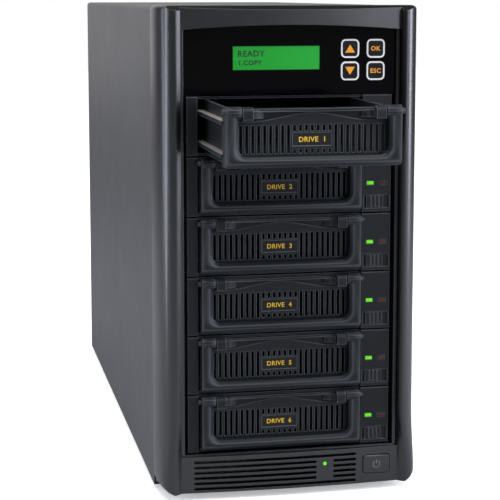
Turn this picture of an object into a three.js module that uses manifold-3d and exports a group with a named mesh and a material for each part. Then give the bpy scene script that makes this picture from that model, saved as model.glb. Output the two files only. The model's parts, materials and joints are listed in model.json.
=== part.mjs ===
// Hard drive duplicator: a tower cabinet with a moulded front bezel, a control panel with a display and four
// keys, and six drive racks. In each rack a tray slides in a sleeve, and a bail handle hangs on the tray front.
// Millimetres, +Z up, front towards -Y, origin on the floor under the middle of the whole outline.

import * as THREE from "three";
import { mergeVertices } from "three/addons/utils/BufferGeometryUtils.js";
import Module from "manifold-3d";

const wasm = await Module();
wasm.setup();

// Clearances and sheets
const gap = 0.3;
const flatness = 0.002;
const overrun = 5;
const sheet = 1.2;
const moulding = 2.5;

// Facets of round shapes
const cornerSteps = 1;
const arcSteps = 2;
const curveSteps = 4;
const boreSides = 8;
const roundSides = 12;
const wideSides = 20;

// Racks: six 5.25-inch bays, stacked
const rackCount = 6;
const rackPitch = 42.5;
const rackWidth = 148;
const rackJoin = 1;
const stripWidth = 8;
const lightPanelWidth = 21.4;
const frontPlate = 2.2;
const frontEdge = 0.5;
const sleeveSetback = 3;
const sleeveInset = 1;
const sleeveWall = 1.7;
const sleeveJoin = 1.2;

// Trays
const trayEdgeGap = 1.5;
const traySlack = 0.3;
const trayLength = 185;
const plugLength = 10.6;
const trayWall = 2;
const trayFloor = 1.6;
const driveWidth = 101.6;
const driveSlack = 0.9;
const trayOpenBy = 95;
const flangeDepth = 8;
const flangeWall = 2;
const backPlate = 1.6;
const grilleDepth = 2;
const grilleRecess = 2.4;
const upperRibTop = 29.6;
const lowerRibTop = 8.2;
const ribHeight = 2.5;

// Tray grille
const slotPitch = 3.92;
const slotWidth = 2;
const sideSlotCount = 9;
const midSlotCount = 7;
const slotBottom = 8.3;
const slotHeight = 18.3;
const upperMidSlotHeight = 4;
const lowerMidSlotHeight = 2.8;
const labelWidth = 26;
const labelHeight = 8.4;
const labelRise = 4.7;
const labelDepth = 0.6;
const archEnd = 29;
const archRise = 5.5;
const archHalfWidth = 40;
const archHalfSteps = 4;
const grilleBottom = 4.5;
const grilleHalfWidth = 52;

// Bail handle
const handleThickness = 6;
const handleForward = 5.2;
const pivotForward = 2.3;
const pivotBelowTop = 4.6;
const earRadius = 3.9;
const nubRadius = 2;
const nubLength = 2.5;
const stubRadius = 1.5;
const stubLength = 4.8;
const stubSlack = 0.3;
const handleLift = 2.5;
const handleBar = 7.2;
const handleArm = 8;
const handleCorner = 6;
const handleOuterCorner = 1.5;
const handleLip = 2.4;
const handleLipDepth = 1.8;
const handleToe = 1.8;
const handleToeHeight = 3;
const earWidth = 10;
const lugWidth = 6.6;
const lugGap = 0.7;
const lugRadius = 3.6;
const lugDrop = 4.6;
const fingerLength = 8.8;
const fingerHeight = 4.8;
const fingerProud = 6;
const fingerBelowTop = 3.8;
const fingerSteps = 3;

// Lights and lock on the right panel of a rack
const lightWidth = 4.6;
const lightHeight = 2.2;
const lightBottom = 20.2;
const greenLightInset = 3.8;
const redLightInset = 13.4;
const lightBarHeight = 7;
const lightBarDepth = 2;
const lightProud = 0.2;
const windowWidth = 18.8;
const windowHeight = 9.4;
const windowBottom = 3.2;
const windowCorner = 1;
const windowFloor = 1.6;
const knobWidth = 12.4;
const knobTravel = 2.6;
const knobEndGap = 2.2;
const knobSlack = 0.5;
const knobThickness = 1.2;
const knobRibCount = 3;
const knobRibPitch = 2.9;
const knobRibWidth = 0.9;
const knobRibProud = 0.7;
const neckWidth = 5;
const neckHeight = 4;
const boltWidth = 12;
const boltHeight = 7;
const boltThickness = 1.5;

// Connector boards
const boardThickness = 1.6;
const connectorWidth = 42;
const connectorHeight = 6;
const connectorDepth = 6.4;
const connectorBottom = 6;
const boardVentWidth = 30;
const boardVentHeight = 14;
const ventSpreadShare = 0.8;

// Cabinet
const coverSetback = 27;
const coverLength = 457.4;
const coverCorner = 3;
const coverFlange = 10;
const coverInset = 0.5;
const coverBelowRacks = 29.5;
const panHeight = 14;
const rearRecess = 5;
const cageShort = 5.2;

// Bezel
const columnWidth = 18.6;
const openingMargin = 2.4;
const ledgeWidth = 2.9;
const ledgeDepth = 2.5;
const bezelBelowRacks = 27.5;
const controlHeight = 45.5;
const topBarHeight = 16.8;
const barForward = 4.5;
const barBow = 3;
const columnForward = 8.6;
const columnPeakInset = 4.5;
const columnEaseShare = 0.56;
const columnSide = 1.2;
const archBow = 3.3;
const bezelBottomCorner = 9;
const bezelTopCorner = 3;
const topRound = 3;
const louvreCount = 6;
const louvrePitch = 3.88;
const louvreHeight = 2;
const louvreTop = 5.3;
const louvreLeft = 70.2;
const louvreRight = 48;
const islandWidth = 12.7;
const powerLightX = 24.8;
const powerLightBelow = 11;
const powerLightRadius = 1.3;
const domeShare = 0.75;
const powerButtonX = 63.6;
const powerButtonBelow = 13.8;
const powerButtonWidth = 20.2;
const powerButtonHeight = 13.4;
const powerButtonCorner = 2;
const powerButtonProud = 0.8;
const powerTravel = 2;
const powerStem = 9;

// Control panel, display and keys
const panelSetback = 0.6;
const panelThickness = 2.4;
const displayWidth = 61.8;
const displayHeight = 16.3;
const displayX = -9.8;
const displayAbove = 25.8;
const displayBorder = 7;
const displayRecess = 0.6;
const keySize = 13.4;
const keyCorner = 3.4;
const keyColumn = 43;
const keyRow = 16.3;
const keyPitchX = 18.7;
const keyPitchZ = 15.7;
const keySlack = 0.35;
const keyProud = 0.6;
const keyTravel = 0.5;
const keyFlange = 1;
const keyStem = 3;
const keyStemRadius = 2;
const switchSize = 6;
const displayBoardSetback = 11;
const displayBoardMargin = 4;

// Controller board
const controllerWidth = 130;
const controllerLength = 150;
const controllerSetback = 30;
const standoff = 5;
const standoffRadius = 3;
const socketWidth = 14;
const socketDepth = 8;
const socketHeight = 9;
const socketPitch = 17;
const socketCount = 6;
const chipSize = 24;
const chipHeight = 3;

// Power supply
const supplyWidth = 150;
const supplyHeight = 86;
const supplyLength = 140;
const supplyWall = 1.2;
const supplyFanRadius = 37;
const supplyFanX = -28;
const rearVentCount = 8;
const rearVentWidth = 4;
const rearVentPitch = 14;
const inletX = 52;
const inletRise = 56;
const inletWidth = 27;
const inletHeight = 20;
const inletFlange = 2.5;
const inletFlangeThickness = 2;
const inletDepth = 18;
const inletWall = 1.6;
const inletFloor = 2;
const pinWidth = 2;
const pinHeight = 4;
const pinLength = 13;
const pinSpread = 7;
const pinOffset = 2;
const rockerRise = 22;
const rockerWidth = 13;
const rockerHeight = 20;
const rockerDepth = 9;
const rockerBow = 2.4;
const rockerSlack = 0.5;
const rockerRim = 2;
const rockerTilt = 8;
const rockerAxle = 1.5;

// Rear fan
const fanSize = 92;
const fanThickness = 25;
const fanRim = 3;
const fanCorner = 5;
const fanRise = 126;
const hubRadius = 17;
const hubLength = 16;
const motorThickness = 4;
const postRadius = 4;
const postSlack = 0.4;
const strutWidth = 4;
const strutCount = 4;
const bladeCount = 7;
const bladeThickness = 1.6;
const bladeTipGap = 1.5;
const bladePitchAngle = 0.6;
const bladeWidthShare = 0.95;
const hubRoundShare = 0.8;
const hubOverlapShare = 0.9;
const boreShare = 0.75;
const rearVentLow = 24;
const rearVentHeight = 30;
const grilleRings = 2;
const grilleWeb = 2.6;
const grilleQuarters = 4;
const grilleHub = 12;

// Feet
const footRadius = 12;
const footTaper = 2;
const footHeight = 3.5;
const footInset = 22;
const footEndInset = 36;

// Worked out from the sizes above: racks
const rackHalf = rackWidth / 2;
const rackFrontLow = rackJoin / 2;
const rackFrontHigh = rackPitch - rackJoin / 2;
const stripRight = stripWidth - rackHalf;
const panelLeft = rackHalf - lightPanelWidth;
const trayCentre = (stripRight + panelLeft) / 2;
const channelHalf = (panelLeft - stripRight) / 2;
const sleeveLow = sleeveJoin / 2;
const sleeveHigh = rackPitch - sleeveJoin / 2;
const channelLow = sleeveLow + sleeveWall;
const channelHigh = sleeveHigh - sleeveWall;
const sleeveHalf = rackHalf - sleeveInset;
const ductLeft = panelLeft + sleeveWall;
const ductRight = sleeveHalf - sleeveWall;

// Worked out: tray and handle
const trayHalf = channelHalf - trayEdgeGap;
const trayLow = channelLow + gap;
const trayHigh = channelHigh - gap;
const handleFront = -handleForward;
const handleBack = handleFront + handleThickness;
const pivotY = -pivotForward;
const pivotZ = rackPitch - pivotBelowTop;
const flangeFront = handleBack + gap;
const flangeBack = flangeFront + flangeDepth;
const grilleFront = handleBack + grilleRecess;
const backPlateFront = grilleFront + grilleDepth;
const backPlateBack = backPlateFront + backPlate;
const trayInner = driveWidth / 2 + driveSlack;
const trayOuter = trayInner + trayWall;
const ribReach = channelHalf - traySlack;
const trayEnd = flangeFront + trayLength;
const plugEnd = trayEnd + plugLength;
const sleeveEnd = plugEnd + gap + connectorDepth + boardThickness;
const earInner = trayHalf - earWidth;
const lugOuter = earInner - lugGap;
const lugInner = lugOuter - lugWidth;
const handleInner = trayHalf - handleArm;

// Worked out: cabinet
const racksTop = rackCount * rackPitch;
const openingHalf = rackHalf + openingMargin;
const ledgeHalf = openingHalf + ledgeWidth;
const bezelHalf = openingHalf + columnWidth;
const openingTop = racksTop + controlHeight;
const bezelTop = openingTop + topBarHeight;
const bezelBottom = -bezelBelowRacks;
const bezelBack = coverSetback - gap;
const ringHalf = openingHalf + moulding;
const coverHalf = bezelHalf - coverInset;
const coverTop = bezelTop - coverInset;
const coverBottom = -coverBelowRacks;
const coverBack = coverSetback + coverLength;
const panTop = coverBottom + sheet + gap + sheet;
const panHalf = coverHalf - sheet - gap;
const rearFace = coverBack - rearRecess;
const rearInside = rearFace - sheet;
const cageInner = sleeveHalf + gap;
const cageOuter = cageInner + sheet;
const cageFront = coverSetback;
const cageBack = sleeveEnd - cageShort;
const cageTop = openingTop - gap - sheet;
const shelfLow = racksTop - sleeveJoin / 2 + gap;
const shelfHigh = shelfLow + sheet;
const panelBack = panelSetback + panelThickness;
const powerButtonZ = -powerButtonBelow;
const powerLightZ = -powerLightBelow;
const displayZ = racksTop + displayAbove;
const supplyHigh = coverTop - sheet - gap;
const supplyLow = supplyHigh - supplyHeight;
const supplyBack = rearInside - gap;
const supplyMiddle = (supplyLow + supplyHigh) / 2;
const supplyHalf = supplyWidth / 2;
const fanRadius = fanSize / 2 - fanRim;

// The whole outline runs from the open tray's handle to the back of the cover
const footBottom = coverBottom - footHeight;
const outlineFront = pivotY - earRadius - trayOpenBy;
const outlineMiddle = (outlineFront + coverBack) / 2;

// Finishes
const finishes = {
  paint: { color: 0x3f4145, roughness: 0.55, metalness: 0.2 },
  steel: { color: 0xb4b6b8, roughness: 0.4, metalness: 0.9 },
  moulded: { color: 0x26282c, roughness: 0.55, metalness: 0 },
  rack: { color: 0x1f2124, roughness: 0.5, metalness: 0 },
  gloss: { color: 0x0b0b0c, roughness: 0.12, metalness: 0 },
  display: { color: 0x2fbf4f, roughness: 0.3, metalness: 0 },
  key: { color: 0x111112, roughness: 0.4, metalness: 0 },
  lens: { color: 0x9be24a, roughness: 0.15, metalness: 0 },
  board: { color: 0x1d5a34, roughness: 0.5, metalness: 0 },
  rubber: { color: 0x151515, roughness: 0.9, metalness: 0 },
};

// A closed three.js geometry becomes a solid, and a solid becomes a geometry again
function solidOf(geometry) {
  const bare = geometry.clone();
  bare.deleteAttribute("normal");
  bare.deleteAttribute("uv");
  const merged = mergeVertices(bare);
  return new wasm.Manifold(
    new wasm.Mesh({
      numProp: 3,
      vertProperties: new Float32Array(merged.attributes.position.array),
      triVerts: new Uint32Array(merged.index.array),
    }),
  );
}

function geometryOf(solid) {
  const result = solid.asOriginal().simplify(flatness).getMesh();
  const geometry = new THREE.BufferGeometry();
  geometry.setAttribute("position", new THREE.BufferAttribute(result.vertProperties, 3));
  geometry.setIndex(new THREE.BufferAttribute(result.triVerts, 1));
  geometry.computeVertexNormals();
  return geometry;
}

function part(name, geometry, finish) {
  const mesh = new THREE.Mesh(geometry, new THREE.MeshStandardMaterial(finishes[finish]));
  mesh.name = name;
  return mesh;
}

function block(x0, x1, y0, y1, z0, z1) {
  const geometry = new THREE.BoxGeometry(x1 - x0, y1 - y0, z1 - z0);
  return solidOf(geometry.translate((x0 + x1) / 2, (y0 + y1) / 2, (z0 + z1) / 2));
}

function joined(solids) {
  return solids.reduce((whole, piece) => whole.add(piece));
}

function cut(solid, cutters) {
  return cutters.reduce((whole, cutter) => whole.subtract(cutter), solid);
}

// An outline drawn in X and Z, pushed back along Y from front to back
function alongY(shape, front, back, curveSegments) {
  const geometry = new THREE.ExtrudeGeometry(shape, {
    depth: back - front,
    bevelEnabled: false,
    curveSegments,
  });
  return solidOf(geometry.rotateX(Math.PI / 2).translate(0, back, 0));
}

// The same with a chamfer all round its front and back edges
function chamferedY(shape, front, back, edge, curveSegments) {
  const geometry = new THREE.ExtrudeGeometry(shape, {
    depth: back - front - 2 * edge,
    bevelEnabled: true,
    bevelThickness: edge,
    bevelSize: edge,
    bevelOffset: -edge,
    bevelSegments: 1,
    curveSegments,
  });
  return solidOf(geometry.rotateX(Math.PI / 2).translate(0, back - edge, 0));
}

// An outline drawn in Y and Z, pushed along X
function alongX(shape, x0, x1, curveSegments) {
  const geometry = new THREE.ExtrudeGeometry(shape, {
    depth: x1 - x0,
    bevelEnabled: false,
    curveSegments,
  });
  return solidOf(geometry.rotateX(Math.PI / 2).rotateZ(Math.PI / 2).translate(x0, 0, 0));
}

// An outline drawn in X and Y, pushed up Z
function alongZ(shape, z0, z1, curveSegments) {
  const geometry = new THREE.ExtrudeGeometry(shape, {
    depth: z1 - z0,
    bevelEnabled: false,
    curveSegments,
  });
  return solidOf(geometry.translate(0, 0, z0));
}

function cylinderX(radius, x0, x1, y, z, sides) {
  const geometry = new THREE.CylinderGeometry(radius, radius, x1 - x0, sides);
  return solidOf(geometry.rotateZ(Math.PI / 2).translate((x0 + x1) / 2, y, z));
}

function cylinderY(radius, y0, y1, x, z, sides) {
  const geometry = new THREE.CylinderGeometry(radius, radius, y1 - y0, sides);
  return solidOf(geometry.translate(x, (y0 + y1) / 2, z));
}

function cylinderZ(radius, z0, z1, x, y, sides) {
  const geometry = new THREE.CylinderGeometry(radius, radius, z1 - z0, sides);
  return solidOf(geometry.rotateX(Math.PI / 2).translate(x, y, (z0 + z1) / 2));
}

function polygon(points) {
  return new THREE.Shape(points.map(([a, b]) => new THREE.Vector2(a, b)));
}

// A rectangle with one radius at its two lower corners and one at its two upper corners
function roundedRectangle(left, right, low, high, lowRadius, highRadius) {
  const shape = new THREE.Shape();
  shape.moveTo(left + lowRadius, low);
  shape.lineTo(right - lowRadius, low);
  shape.absarc(right - lowRadius, low + lowRadius, lowRadius, -Math.PI / 2, 0, false);
  shape.lineTo(right, high - highRadius);
  shape.absarc(right - highRadius, high - highRadius, highRadius, 0, Math.PI / 2, false);
  shape.lineTo(left + highRadius, high);
  shape.absarc(left + highRadius, high - highRadius, highRadius, Math.PI / 2, Math.PI, false);
  shape.lineTo(left, low + lowRadius);
  shape.absarc(left + lowRadius, low + lowRadius, lowRadius, Math.PI, 1.5 * Math.PI, false);
  return shape;
}

// Rack sleeve: a long body with the tray channel and a wiring duct, and the front's left strip and light panel
function windowPlace() {
  const left = (panelLeft + rackHalf - windowWidth) / 2;
  return { left, right: left + windowWidth, low: windowBottom, high: windowBottom + windowHeight };
}

function lightPlaces() {
  return [greenLightInset, redLightInset].map((inset) => panelLeft + inset);
}

function rackSleeve() {
  const through = (x0, x1) =>
    block(x0, x1, sleeveSetback - overrun, sleeveEnd + overrun, channelLow, channelHigh);
  const body = cut(block(-sleeveHalf, sleeveHalf, sleeveSetback, sleeveEnd, sleeveLow, sleeveHigh), [
    through(stripRight, panelLeft),
    through(ductLeft, ductRight),
  ]);
  const plateBack = sleeveSetback + frontEdge;
  const plate = (x0, x1) => {
    const shape = polygon([
      [x0, rackFrontLow],
      [x1, rackFrontLow],
      [x1, rackFrontHigh],
      [x0, rackFrontHigh],
    ]);
    return chamferedY(shape, 0, plateBack, frontEdge, 1);
  };
  const hood = windowPlace();
  const hoodBack = frontPlate + windowFloor;
  const pocket = block(
    panelLeft,
    ductRight,
    frontEdge,
    hoodBack,
    hood.low - windowFloor,
    hood.high + windowFloor,
  );
  const panelBehind = block(
    ductLeft,
    ductRight,
    frontPlate,
    plateBack + overrun,
    channelLow,
    channelHigh,
  );
  const panelPlate = cut(plate(panelLeft, rackHalf), [panelBehind]);
  const recess = roundedRectangle(
    hood.left,
    hood.right,
    hood.low,
    hood.high,
    windowCorner,
    windowCorner,
  );
  const middle = (hood.low + hood.high) / 2;
  const knobStart = hood.left + knobEndGap + knobWidth / 2;
  const neckSlot = block(
    knobStart - neckWidth / 2 - knobSlack,
    knobStart + neckWidth / 2 + knobTravel + knobSlack,
    frontPlate - overrun,
    hoodBack + overrun,
    middle - neckHeight / 2 - knobSlack,
    middle + neckHeight / 2 + knobSlack,
  );
  const lights = lightPlaces().map((x) =>
    block(
      x - gap,
      x + lightWidth + gap,
      -overrun,
      plateBack + overrun,
      lightBottom - gap,
      lightBottom + lightHeight + gap,
    ),
  );
  return cut(joined([body, plate(-rackHalf, stripRight), panelPlate, pocket]), [
    alongY(recess, -overrun, frontPlate, cornerSteps),
    neckSlot,
    ...lights,
  ]);
}

// Light pipe: one clear moulding behind the panel, with a lens that fills each window
function lightPipe() {
  const [green, red] = lightPlaces();
  const back = frontPlate + gap + lightBarDepth;
  const middle = lightBottom + lightHeight / 2;
  const bar = block(
    green - gap,
    red + lightWidth + gap,
    frontPlate + gap,
    back,
    middle - lightBarHeight / 2,
    middle + lightBarHeight / 2,
  );
  const lenses = [green, red].map((x) =>
    block(x, x + lightWidth, -lightProud, back, lightBottom, lightBottom + lightHeight),
  );
  return joined([bar, ...lenses]);
}

// Sliding lock: a ribbed knob in the window, a neck through its floor and a bolt plate behind
function lockKnob() {
  const hood = windowPlace();
  const middle = (hood.low + hood.high) / 2;
  const centre = hood.left + knobEndGap + knobWidth / 2;
  const knobBack = frontPlate - gap;
  const knobFront = knobBack - knobThickness;
  const knobHalfHeight = windowHeight / 2 - knobSlack;
  const face = block(
    centre - knobWidth / 2,
    centre + knobWidth / 2,
    knobFront,
    knobBack,
    middle - knobHalfHeight,
    middle + knobHalfHeight,
  );
  const ribs = Array.from({ length: knobRibCount }, (_, i) => {
    const x = centre + (i - (knobRibCount - 1) / 2) * knobRibPitch;
    return block(
      x - knobRibWidth / 2,
      x + knobRibWidth / 2,
      knobFront - knobRibProud,
      knobBack,
      middle - knobHalfHeight + knobSlack,
      middle + knobHalfHeight - knobSlack,
    );
  });
  const boltFront = frontPlate + windowFloor + gap;
  const neck = block(
    centre - neckWidth / 2,
    centre + neckWidth / 2,
    knobFront,
    boltFront + boltThickness,
    middle - neckHeight / 2,
    middle + neckHeight / 2,
  );
  const bolt = block(
    centre - boltWidth / 2,
    centre + boltWidth / 2,
    boltFront,
    boltFront + boltThickness,
    middle - boltHeight / 2,
    middle + boltHeight / 2,
  );
  return joined([face, ...ribs, neck, bolt]);
}

// Connector board at the back of a sleeve, with the socket that the tray plugs into and two vents
function rackBoard() {
  const front = sleeveEnd - boardThickness;
  const board = block(
    stripRight + gap,
    panelLeft - gap,
    front,
    sleeveEnd,
    channelLow + gap,
    channelHigh - gap,
  );
  const socket = block(
    trayCentre - connectorWidth / 2,
    trayCentre + connectorWidth / 2,
    front - connectorDepth,
    sleeveEnd,
    channelLow + connectorBottom,
    channelLow + connectorBottom + connectorHeight,
  );
  const ventLow = channelHigh - gap - boardVentHeight - trayWall;
  const vents = [-1, 1].map((side) => {
    const middle = trayCentre + side * boardVentWidth * ventSpreadShare;
    return block(
      middle - boardVentWidth / 2,
      middle + boardVentWidth / 2,
      front - overrun,
      sleeveEnd + overrun,
      ventLow,
      ventLow + boardVentHeight,
    );
  });
  return cut(joined([board, socket]), vents);
}

// The grille plate's top edge: flat at its ends, rising to a soft crest in the middle
function archHeight(x) {
  const reach = Math.min(Math.abs(x) / archHalfWidth, 1);
  return trayLow + archEnd + archRise / 2 + (archRise / 2) * Math.cos(Math.PI * reach);
}

// Even places across an arch, from its right end to its left end
function archPlaces(half) {
  const places = [];
  for (let i = archHalfSteps; i >= -archHalfSteps; i -= 1) {
    places.push((half * i) / archHalfSteps);
  }
  return places;
}

function grillePlate() {
  const crown = archPlaces(archHalfWidth).map((x) => [trayCentre + x, archHeight(x)]);
  const shape = polygon([
    [trayCentre - grilleHalfWidth, trayLow + grilleBottom],
    [trayCentre + grilleHalfWidth, trayLow + grilleBottom],
    [trayCentre + grilleHalfWidth, trayLow + archEnd],
    ...crown,
    [trayCentre - grilleHalfWidth, trayLow + archEnd],
  ]);
  return alongY(shape, grilleFront, backPlateFront, 1);
}

function grilleSlots() {
  const count = 2 * sideSlotCount + midSlotCount;
  const low = trayLow + slotBottom;
  const high = low + slotHeight;
  const slots = [];
  const slot = (x, z0, z1) => {
    const front = grilleFront - overrun;
    slots.push(block(x - slotWidth / 2, x + slotWidth / 2, front, backPlateBack + overrun, z0, z1));
  };
  for (let i = 0; i < count; i += 1) {
    const x = trayCentre + (i - (count - 1) / 2) * slotPitch;
    if (i < sideSlotCount || i >= sideSlotCount + midSlotCount) {
      slot(x, low, high);
    } else {
      slot(x, low, low + lowerMidSlotHeight);
      slot(x, high - upperMidSlotHeight, high);
    }
  }
  return slots;
}

// Hinge lug: a square block with a round head at the pivot, and a curved finger beside it
function hingeLug(side) {
  const shape = new THREE.Shape();
  shape.moveTo(backPlateFront, pivotZ - lugDrop);
  shape.lineTo(backPlateFront, trayHigh);
  shape.lineTo(flangeFront, trayHigh);
  shape.lineTo(pivotY, pivotZ + lugRadius);
  shape.absarc(pivotY, pivotZ, lugRadius, Math.PI / 2, Math.PI, false);
  shape.lineTo(pivotY - lugRadius, pivotZ - lugDrop);
  const ends = [trayCentre + side * lugInner, trayCentre + side * lugOuter];
  const lug = alongX(shape, Math.min(...ends), Math.max(...ends), arcSteps);
  const root = trayCentre + side * lugInner;
  const tip = root - side * fingerLength;
  const curve = new THREE.Shape();
  curve.moveTo(root, backPlateFront);
  curve.lineTo(tip, backPlateFront);
  for (let i = 1; i <= fingerSteps; i += 1) {
    const turn = (Math.PI / 2) * (i / fingerSteps);
    curve.lineTo(
      root - side * fingerLength * Math.cos(turn),
      backPlateFront - fingerProud * Math.sin(turn),
    );
  }
  const top = pivotZ + pivotBelowTop - fingerBelowTop;
  const finger = alongZ(curve, top - fingerHeight, top, 1);
  const boreEnds = [ends[1] - side * (stubLength - lugGap + stubSlack), ends[1] + side * overrun];
  const bore = cylinderX(
    stubRadius + stubSlack,
    Math.min(...boreEnds),
    Math.max(...boreEnds),
    pivotY,
    pivotZ,
    boreSides,
  );
  return cut(joined([lug, finger]), [bore]);
}

// Tray: flanged front with the grille and hinge lugs, side walls with guide ribs, floor, rear wall and plug
function tray() {
  const left = trayCentre - trayHalf;
  const right = trayCentre + trayHalf;
  const flange = cut(block(left, right, flangeFront, flangeBack, trayLow, trayHigh), [
    block(
      left + flangeWall,
      right - flangeWall,
      flangeFront - overrun,
      flangeBack + overrun,
      trayLow + flangeWall,
      trayHigh - flangeWall,
    ),
  ]);
  const back = block(left, right, backPlateFront, backPlateBack, trayLow, trayHigh);
  const walls = [-1, 1].map((side) => {
    const ends = [trayCentre + side * trayInner, trayCentre + side * trayOuter];
    return block(Math.min(...ends), Math.max(...ends), backPlateFront, trayEnd, trayLow, trayHigh);
  });
  const ribs = [-1, 1].flatMap((side) =>
    [upperRibTop, lowerRibTop].map((top) => {
      const ends = [trayCentre + side * trayInner, trayCentre + side * ribReach];
      return block(
        Math.min(...ends),
        Math.max(...ends),
        flangeBack - flangeWall,
        trayEnd,
        trayLow + top - ribHeight,
        trayLow + top,
      );
    }),
  );
  const floor = block(
    trayCentre - trayOuter,
    trayCentre + trayOuter,
    backPlateFront,
    trayEnd,
    trayLow,
    trayLow + trayFloor,
  );
  const rear = block(
    trayCentre - trayOuter,
    trayCentre + trayOuter,
    trayEnd - trayWall,
    trayEnd,
    trayLow,
    trayLow + lowerRibTop + connectorHeight,
  );
  const plug = block(
    trayCentre - connectorWidth / 2,
    trayCentre + connectorWidth / 2,
    trayEnd - trayWall,
    plugEnd,
    channelLow + connectorBottom,
    channelLow + connectorBottom + connectorHeight,
  );
  const labelLow = trayLow + slotBottom + labelRise;
  const label = block(
    trayCentre - labelWidth / 2,
    trayCentre + labelWidth / 2,
    grilleFront - overrun,
    grilleFront + labelDepth,
    labelLow,
    labelLow + labelHeight,
  );
  const front = cut(joined([flange, back, grillePlate()]), [...grilleSlots(), label]);
  const lugs = [hingeLug(-1), hingeLug(1)];
  const earRooms = [-1, 1].map((side) => {
    const ends = [trayCentre + side * (earInner - gap), trayCentre + side * (trayHalf + overrun)];
    return cylinderX(earRadius + gap, Math.min(...ends), Math.max(...ends), pivotY, pivotZ, roundSides);
  });
  return cut(joined([front, ...walls, ...ribs, floor, rear, plug, ...lugs]), earRooms);
}

// Bail handle: a U with a bevelled lip inside, round ears at the pivot with a nub and a stub axle each
function handle() {
  const left = trayCentre - trayHalf;
  const right = trayCentre + trayHalf;
  const outline = roundedRectangle(left, right, handleLift, pivotZ, handleOuterCorner, 0);
  const open = (grow) =>
    roundedRectangle(
      trayCentre - handleInner - grow,
      trayCentre + handleInner + grow,
      handleLift + handleBar - grow,
      rackPitch + overrun,
      handleCorner + grow,
      0,
    );
  const lip = new THREE.ExtrudeGeometry(open(0), {
    depth: overrun,
    bevelEnabled: true,
    bevelThickness: handleLipDepth,
    bevelSize: handleLip,
    bevelSegments: 1,
    curveSegments: arcSteps,
  });
  const lipCutter = solidOf(lip.rotateX(Math.PI / 2).translate(0, handleFront, 0));
  const section = polygon([
    [handleBack, handleLift],
    [handleBack, pivotZ],
    [handleFront, pivotZ],
    [handleFront, handleLift + handleToeHeight],
    [handleFront + handleToe, handleLift],
  ]);
  const frame = cut(
    alongY(outline, handleFront, handleBack, cornerSteps).intersect(
      alongX(section, left - overrun, right + overrun, 1),
    ),
    [alongY(open(0), handleFront - overrun, handleBack + overrun, arcSteps), lipCutter],
  );
  const ends = [-1, 1].flatMap((side) => {
    const round = (radius, from, to, sides) => {
      const span = [trayCentre + side * from, trayCentre + side * to];
      return cylinderX(radius, Math.min(...span), Math.max(...span), pivotY, pivotZ, sides);
    };
    return [
      round(earRadius, earInner, trayHalf, roundSides),
      round(nubRadius, trayHalf - nubLength, trayHalf + nubLength, boreSides),
      round(stubRadius, earInner - stubLength, earInner + stubLength, boreSides),
    ];
  });
  return joined([frame, ...ends]);
}

// Bezel: a bowed bar between two round columns, the same section inset for its hollow back
function bezelSection(inset) {
  const shape = new THREE.Shape();
  const half = bezelHalf - inset;
  const front = inset - barForward;
  const peak = inset - columnForward;
  const peakX = bezelHalf - columnPeakInset;
  const ease = columnEaseShare * (peakX - ledgeHalf);
  shape.moveTo(-half, bezelBack + (inset ? overrun : 0));
  shape.lineTo(-half, -columnSide);
  shape.bezierCurveTo(-half, (peak - columnSide) / 2, -half + (half - peakX) / 2, peak, -peakX, peak);
  shape.quadraticCurveTo(-peakX + ease, peak, -ledgeHalf, front);
  shape.quadraticCurveTo(0, front - 2 * barBow, ledgeHalf, front);
  shape.quadraticCurveTo(peakX - ease, peak, peakX, peak);
  shape.bezierCurveTo(half - (half - peakX) / 2, peak, half, (peak - columnSide) / 2, half, -columnSide);
  shape.lineTo(half, bezelBack + (inset ? overrun : 0));
  return shape;
}

function openingArch(x) {
  return openingTop + archBow - archBow * (x / ledgeHalf) ** 2;
}

// The opening's outline: straight sides and floor, and a top that arches
function openingOutline(half, low, shrink) {
  const crown = archPlaces(half).map((x) => [x, openingArch(x) - shrink]);
  return polygon([[-half, low], [half, low], ...crown]);
}

function louvres() {
  const slots = [];
  const islandLeft = powerLightX - islandWidth / 2;
  const islandRight = powerLightX + islandWidth / 2;
  for (let row = 0; row < louvreCount; row += 1) {
    const middle = -louvreTop - row * louvrePitch;
    const slot = (x0, x1) => {
      const front = -columnForward - overrun;
      slots.push(block(x0, x1, front, 0, middle - louvreHeight / 2, middle + louvreHeight / 2));
    };
    if (row === 0 || row === louvreCount - 1) {
      slot(-louvreLeft, louvreRight);
    } else {
      slot(-louvreLeft, islandLeft);
      slot(islandRight, louvreRight);
    }
  }
  return slots;
}

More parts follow.
